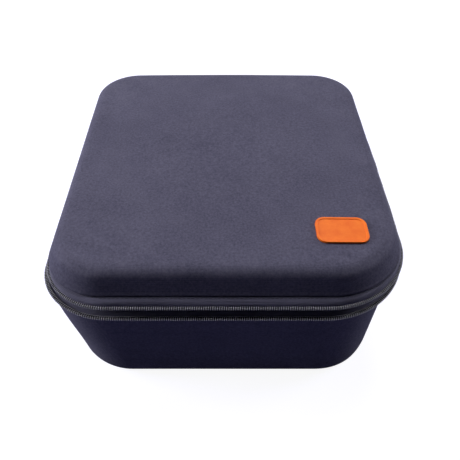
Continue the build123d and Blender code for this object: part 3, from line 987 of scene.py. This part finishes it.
# Closed tails of the zip tape and the fabric hinge across the back
hingeLook = {
    "halfLength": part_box("hinge_strip")[1][0] / mm - 0.1, "thickness": 0.8, "seat": 0.2,
    "bulge": 4.1, "fullness": 0.8, "steps": 24, "lidHem": 103.2, "baseHem": 87.8, "lidSewn": 3.6,
    "baseSewn": 1.4, "columns": 60, "pucker": 0.18, "halfBend": 0.0045}  # the last is in metres
hingeLiningLook = {
    "inside": -5.15, "low": 84.3, "high": 102.1, "steps": 24, "columns": 70, "thickness": 0.55, "pucker": 0.1,
    "halfBend": 0.0075}  # the last is in metres
# The tails' tape: its hems' heights above and below the tail, then distances out from the rim
tailLook = {
    "reach": 5.15, "hems": {1: (97.1, 96.4, 94.9), -1: (89.4, 90.0, 91.5)},
    "outside": 4.2, "shoulder": 3.9, "round": 0.3, "flat": (3.0, -1.0), "inside": -1.12, "innerRound": 0.4,
    "columns": 20, "thickness": 0.5, "bend": (0.1408, 0.1364)}  # the last are y values in metres
puckerScale = (7.0, 9.0, 3.0)  # how far apart the waves are across and up, and which layer of noise


def backSheet(name, profile, fromX, toX, columns, material, thickness, pucker=0.0):
    # Cloth across the case's back; profile holds (distance out, height) from one hem to the other
    rows = []
    alongX, upZ, layer = puckerScale
    for out, z in profile:
        row = []
        for i in range(columns + 1):
            x = mixed(fromX, toX, i / columns)
            wave = pucker * noise.noise(Vector((x / alongX, z / upZ, layer)))
            row.append((x, case["halfDepth"] + out + wave, z))
        rows.append(row)
    return ribbon(name, rows, material, thickness)


def hingeProfile():
    # Sewn flat in both channels, with a soft bulge between them
    seat = -case["channel"] + hingeLook["seat"] + hingeLook["thickness"] / 2
    low = hingeLook["baseHem"] + hingeLook["baseSewn"]
    high = hingeLook["lidHem"] - hingeLook["lidSewn"]
    profile = [(seat, mixed(hingeLook["baseHem"], low, t / 2)) for t in range(2)]
    for i in range(hingeLook["steps"] + 1):
        t = i / hingeLook["steps"]
        bulge = math.sin(math.pi * t) ** hingeLook["fullness"]
        profile.append((mixed(seat, hingeLook["bulge"], bulge), mixed(low, high, t)))
    profile += [(seat, mixed(high, hingeLook["lidHem"], t / 3)) for t in range(1, 4)]
    return profile


hingeStrip = backSheet(
    "hinge_band", hingeProfile(), -hingeLook["halfLength"], hingeLook["halfLength"], hingeLook["columns"],
    hingeCloth, hingeLook["thickness"], hingeLook["pucker"])
half = hingeLook["halfBend"]
bending(hingeStrip, "hinge_strip")

look = hingeLiningLook
hingeInside = backSheet(
    "hinge_inner_band",
    [(look["inside"], mixed(look["low"], look["high"], t / look["steps"])) for t in range(look["steps"] + 1)],
    *(corner[0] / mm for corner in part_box("hinge_lining")), look["columns"],
    liningCloth, look["thickness"], look["pucker"])
half = look["halfBend"]
bending(hingeInside, "hinge_lining")


def tailBand(name, side, away):
    # Tape folded over the closed tail with away 1, under it with -1
    look = tailLook
    outer, *inner = look["hems"][away]
    level = case["parting"] + away * look["reach"]
    profile = [(look["outside"], outer), (look["outside"], level - away * look["round"])]
    profile += [(look["shoulder"], level), (look["flat"][0], level)]
    profile += [(mixed(*look["flat"], t / 5), level) for t in range(1, 6)]
    profile += [(look["inside"], z) for z in (level - away * look["innerRound"], *inner)]
    return level, backSheet(
        name, profile, side * zipRow["tailStart"], side * zipRow["openStart"], look["columns"], tapeCloth,
        look["thickness"])


for side, sideName in ((1, "right"), (-1, "left")):
    level, tail = tailBand(sideName + "_tail_band", side, 1)
    start, end = ((0, y, level * mm) for y in tailLook["bend"])
    bending(tail, sideName + "_tail_tape")
    level, tail = tailBand(sideName + "_lower_tail_band", side, -1)
    settled(tail, "base", "zip_tape")
print("hinge made")


# Pieces whose CAD form is right, with their sharp edges broken
edgeLook = {
    "weld": 1e-6,  # in metres
    "flatAngle": 1.0, "sharpAngle": 35.0,  # in degrees
    "foam": 0.8, "pad": 1.2, "slider": 0.14, "pull": 0.16, "stop": 0.2, "badge": 0.22}


def softened(name, node, material, width, body, slotName, segments=2):
    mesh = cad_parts[node].data.copy()
    mesh.name = name
    work = bmesh.new()
    work.from_mesh(mesh)
    bmesh.ops.remove_doubles(work, verts=work.verts, dist=edgeLook["weld"])
    flat = math.radians(edgeLook["flatAngle"])
    bmesh.ops.dissolve_limit(work, angle_limit=flat, verts=work.verts, edges=work.edges)
    work.to_mesh(mesh)
    work.free()
    mesh.materials.clear()
    mesh.materials.append(material)
    obj = linked(name, mesh)
    bevel = obj.modifiers.new("edges", "BEVEL")
    bevel.width = width * mm
    bevel.segments = segments
    bevel.limit_method = "ANGLE"
    bevel.angle_limit = math.radians(edgeLook["sharpAngle"])
    bevel.use_clamp_overlap = True
    normals = obj.modifiers.new("normals", "WEIGHTED_NORMAL")
    normals.keep_sharp = True
    return settled(applyModifiers(obj), body, slotName, node)


for node in sorted(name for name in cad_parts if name.startswith("foam_")):
    softened(node + "_cut", node, insertFoam, edgeLook["foam"], "base", "insert_foam", 3)
softened("lid_pad", "lid_foam_pad", insertFoam, edgeLook["pad"], "lid", "insert_foam", 3)
for side in ("left", "right"):
    for piece, node, body in (
            ("slider", "_slider_body", side + "_slider"), ("pull", "_pull_tab", side + "_pull"),
            ("stop", "_end_stop", "base")):
        softened(side + "_" + piece, side + node, blackMetal, edgeLook[piece], body, "slider_metal")
softened("blank_badge", "badge", badgeResin, edgeLook["badge"], "lid", "badge", 3)
print("foam, sliders and badge made")


# Studio: pale floor, white surroundings, a large soft lamp above and behind
studio = {
    "floorHalf": 3000.0, "floorColour": (0.23, 0.23, 0.42), "floorLift": 0.92, "worldStrength": 0.015,
    "lampAim": (0, 0, 0.08),  # in metres
    "lamps": (
        # name, place in metres, size, watts
        ("overhead", (0.0, 0.62, 1.48), 0.8, 16.0),
        ("left_fill", (-1.2, 0.05, 0.50), 0.5, 14.0),
        ("right_fill", (1.2, 0.35, 0.50), 0.5, 8.0),
    ),
}


def floorMaterial():
    # Looks white to the camera, and lights the case as a pale floor would
    tree = Tree("studio_floor")
    camera = tree.add("ShaderNodeLightPath")
    seen = tree.calc("MAXIMUM", camera.outputs["Is Camera Ray"], camera.outputs["Is Glossy Ray"])
    tree.look({"Emission Strength": tree.times(seen, studio["floorLift"]), "Emission Color": (1.0,) * 4})
    return tree.finish((*studio["floorColour"], 1.0), 0.9, specular=0.1)


half = studio["floorHalf"]
floorSheet = makeObject(
    "studio_floor", [(-half, -half, 0), (half, -half, 0), (half, half, 0), (-half, half, 0)], [(0, 1, 2, 3)],
    floorMaterial())

world = scene.world or bpy.data.worlds.new("studio")
scene.world = world
world.use_nodes = True
sky = world.node_tree
background = sky.nodes["Background"]
background.inputs["Color"].default_value = (1.0,) * 4
rays = treeNode(sky, "ShaderNodeLightPath").outputs
seen = treeNode(
    sky, "ShaderNodeMath", {0: rays["Is Camera Ray"], 1: rays["Is Glossy Ray"]}, operation="MAXIMUM")
white = treeNode(sky, "ShaderNodeMath", {0: seen.outputs[0], 1: studio["worldStrength"]}, operation="MAXIMUM")
sky.links.new(white.outputs[0], background.inputs["Strength"])

for name, place, size, watts in studio["lamps"]:
    lamp = bpy.data.lights.new(name, "AREA")
    lamp.size = size
    lamp.energy = watts
    holder = linked(name, lamp)
    holder.location = place
    holder.rotation_euler = (Vector(studio["lampAim"]) - Vector(place)).to_track_quat("-Z", "Y").to_euler()

# Camera: in front and above, as the photograph was taken
shot = {
    "elevation": 45.08, "distance": 499.4, "aim": (0.0, 0.0, 28.7), "lens": 41.47, "sensor": 36.0,
    "shiftX": 0.009, "shiftY": 0.0034, "nearest": 10.0}
lift = math.radians(shot["elevation"])
aim = Vector(shot["aim"]) * mm
eye = aim + Vector((0, -math.cos(lift), math.sin(lift))) * shot["distance"] * mm
camera = bpy.data.cameras.new("camera")
camera.lens = shot["lens"]
camera.sensor_width = shot["sensor"]
camera.shift_x = shot["shiftX"]
camera.shift_y = shot["shiftY"]
camera.clip_start = shot["nearest"] * mm
cameraHolder = linked("camera", camera)
cameraHolder.location = eye
cameraHolder.rotation_euler = (aim - eye).to_track_quat("-Z", "Y").to_euler()
scene.camera = cameraHolder
scene.view_settings.view_transform = "Standard"

print("scene ready")
